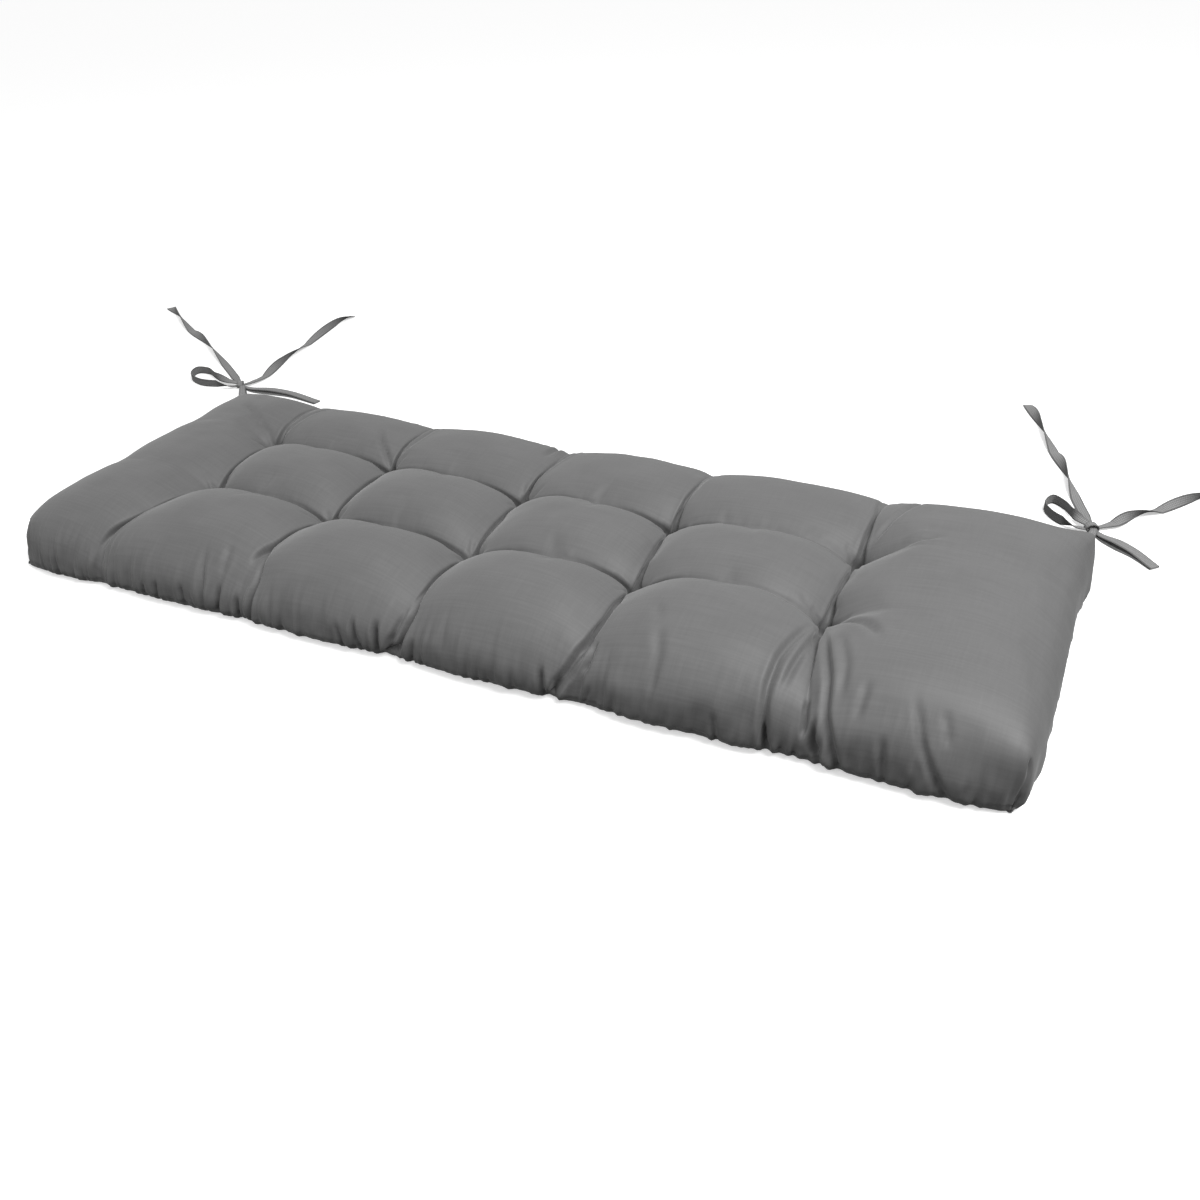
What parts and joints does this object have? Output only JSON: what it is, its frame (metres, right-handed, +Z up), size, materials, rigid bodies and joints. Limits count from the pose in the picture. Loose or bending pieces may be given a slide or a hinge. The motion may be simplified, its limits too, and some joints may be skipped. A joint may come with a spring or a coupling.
{
  "type": "bench cushion",
  "caption": "Long filled bench cushion, stitched into tufted mounds with boxed corners, with a tape bow lying at each back corner.",
  "frame": {"origin": "middle of the flat underside, on the surface that the cushion lies on", "axes": "+X along the cushion's length, +Y to the back edge with the ties, +Z up"},
  "size_m": [2.1014, 1.0337, 0.1],
  "materials": {
    "cover": "grey woven polyester with a soft satin sheen",
    "tape": "lighter grey folded tape with a coarse plain weave"
  },
  "bodies": {
    "root": {"cushion": "cover", "tie_left_flat_loop": "tape", "tie_left_open_loop": "tape", "tie_right_flat_loop": "tape", "tie_right_open_loop": "tape"}
  },
  "joints": []
}
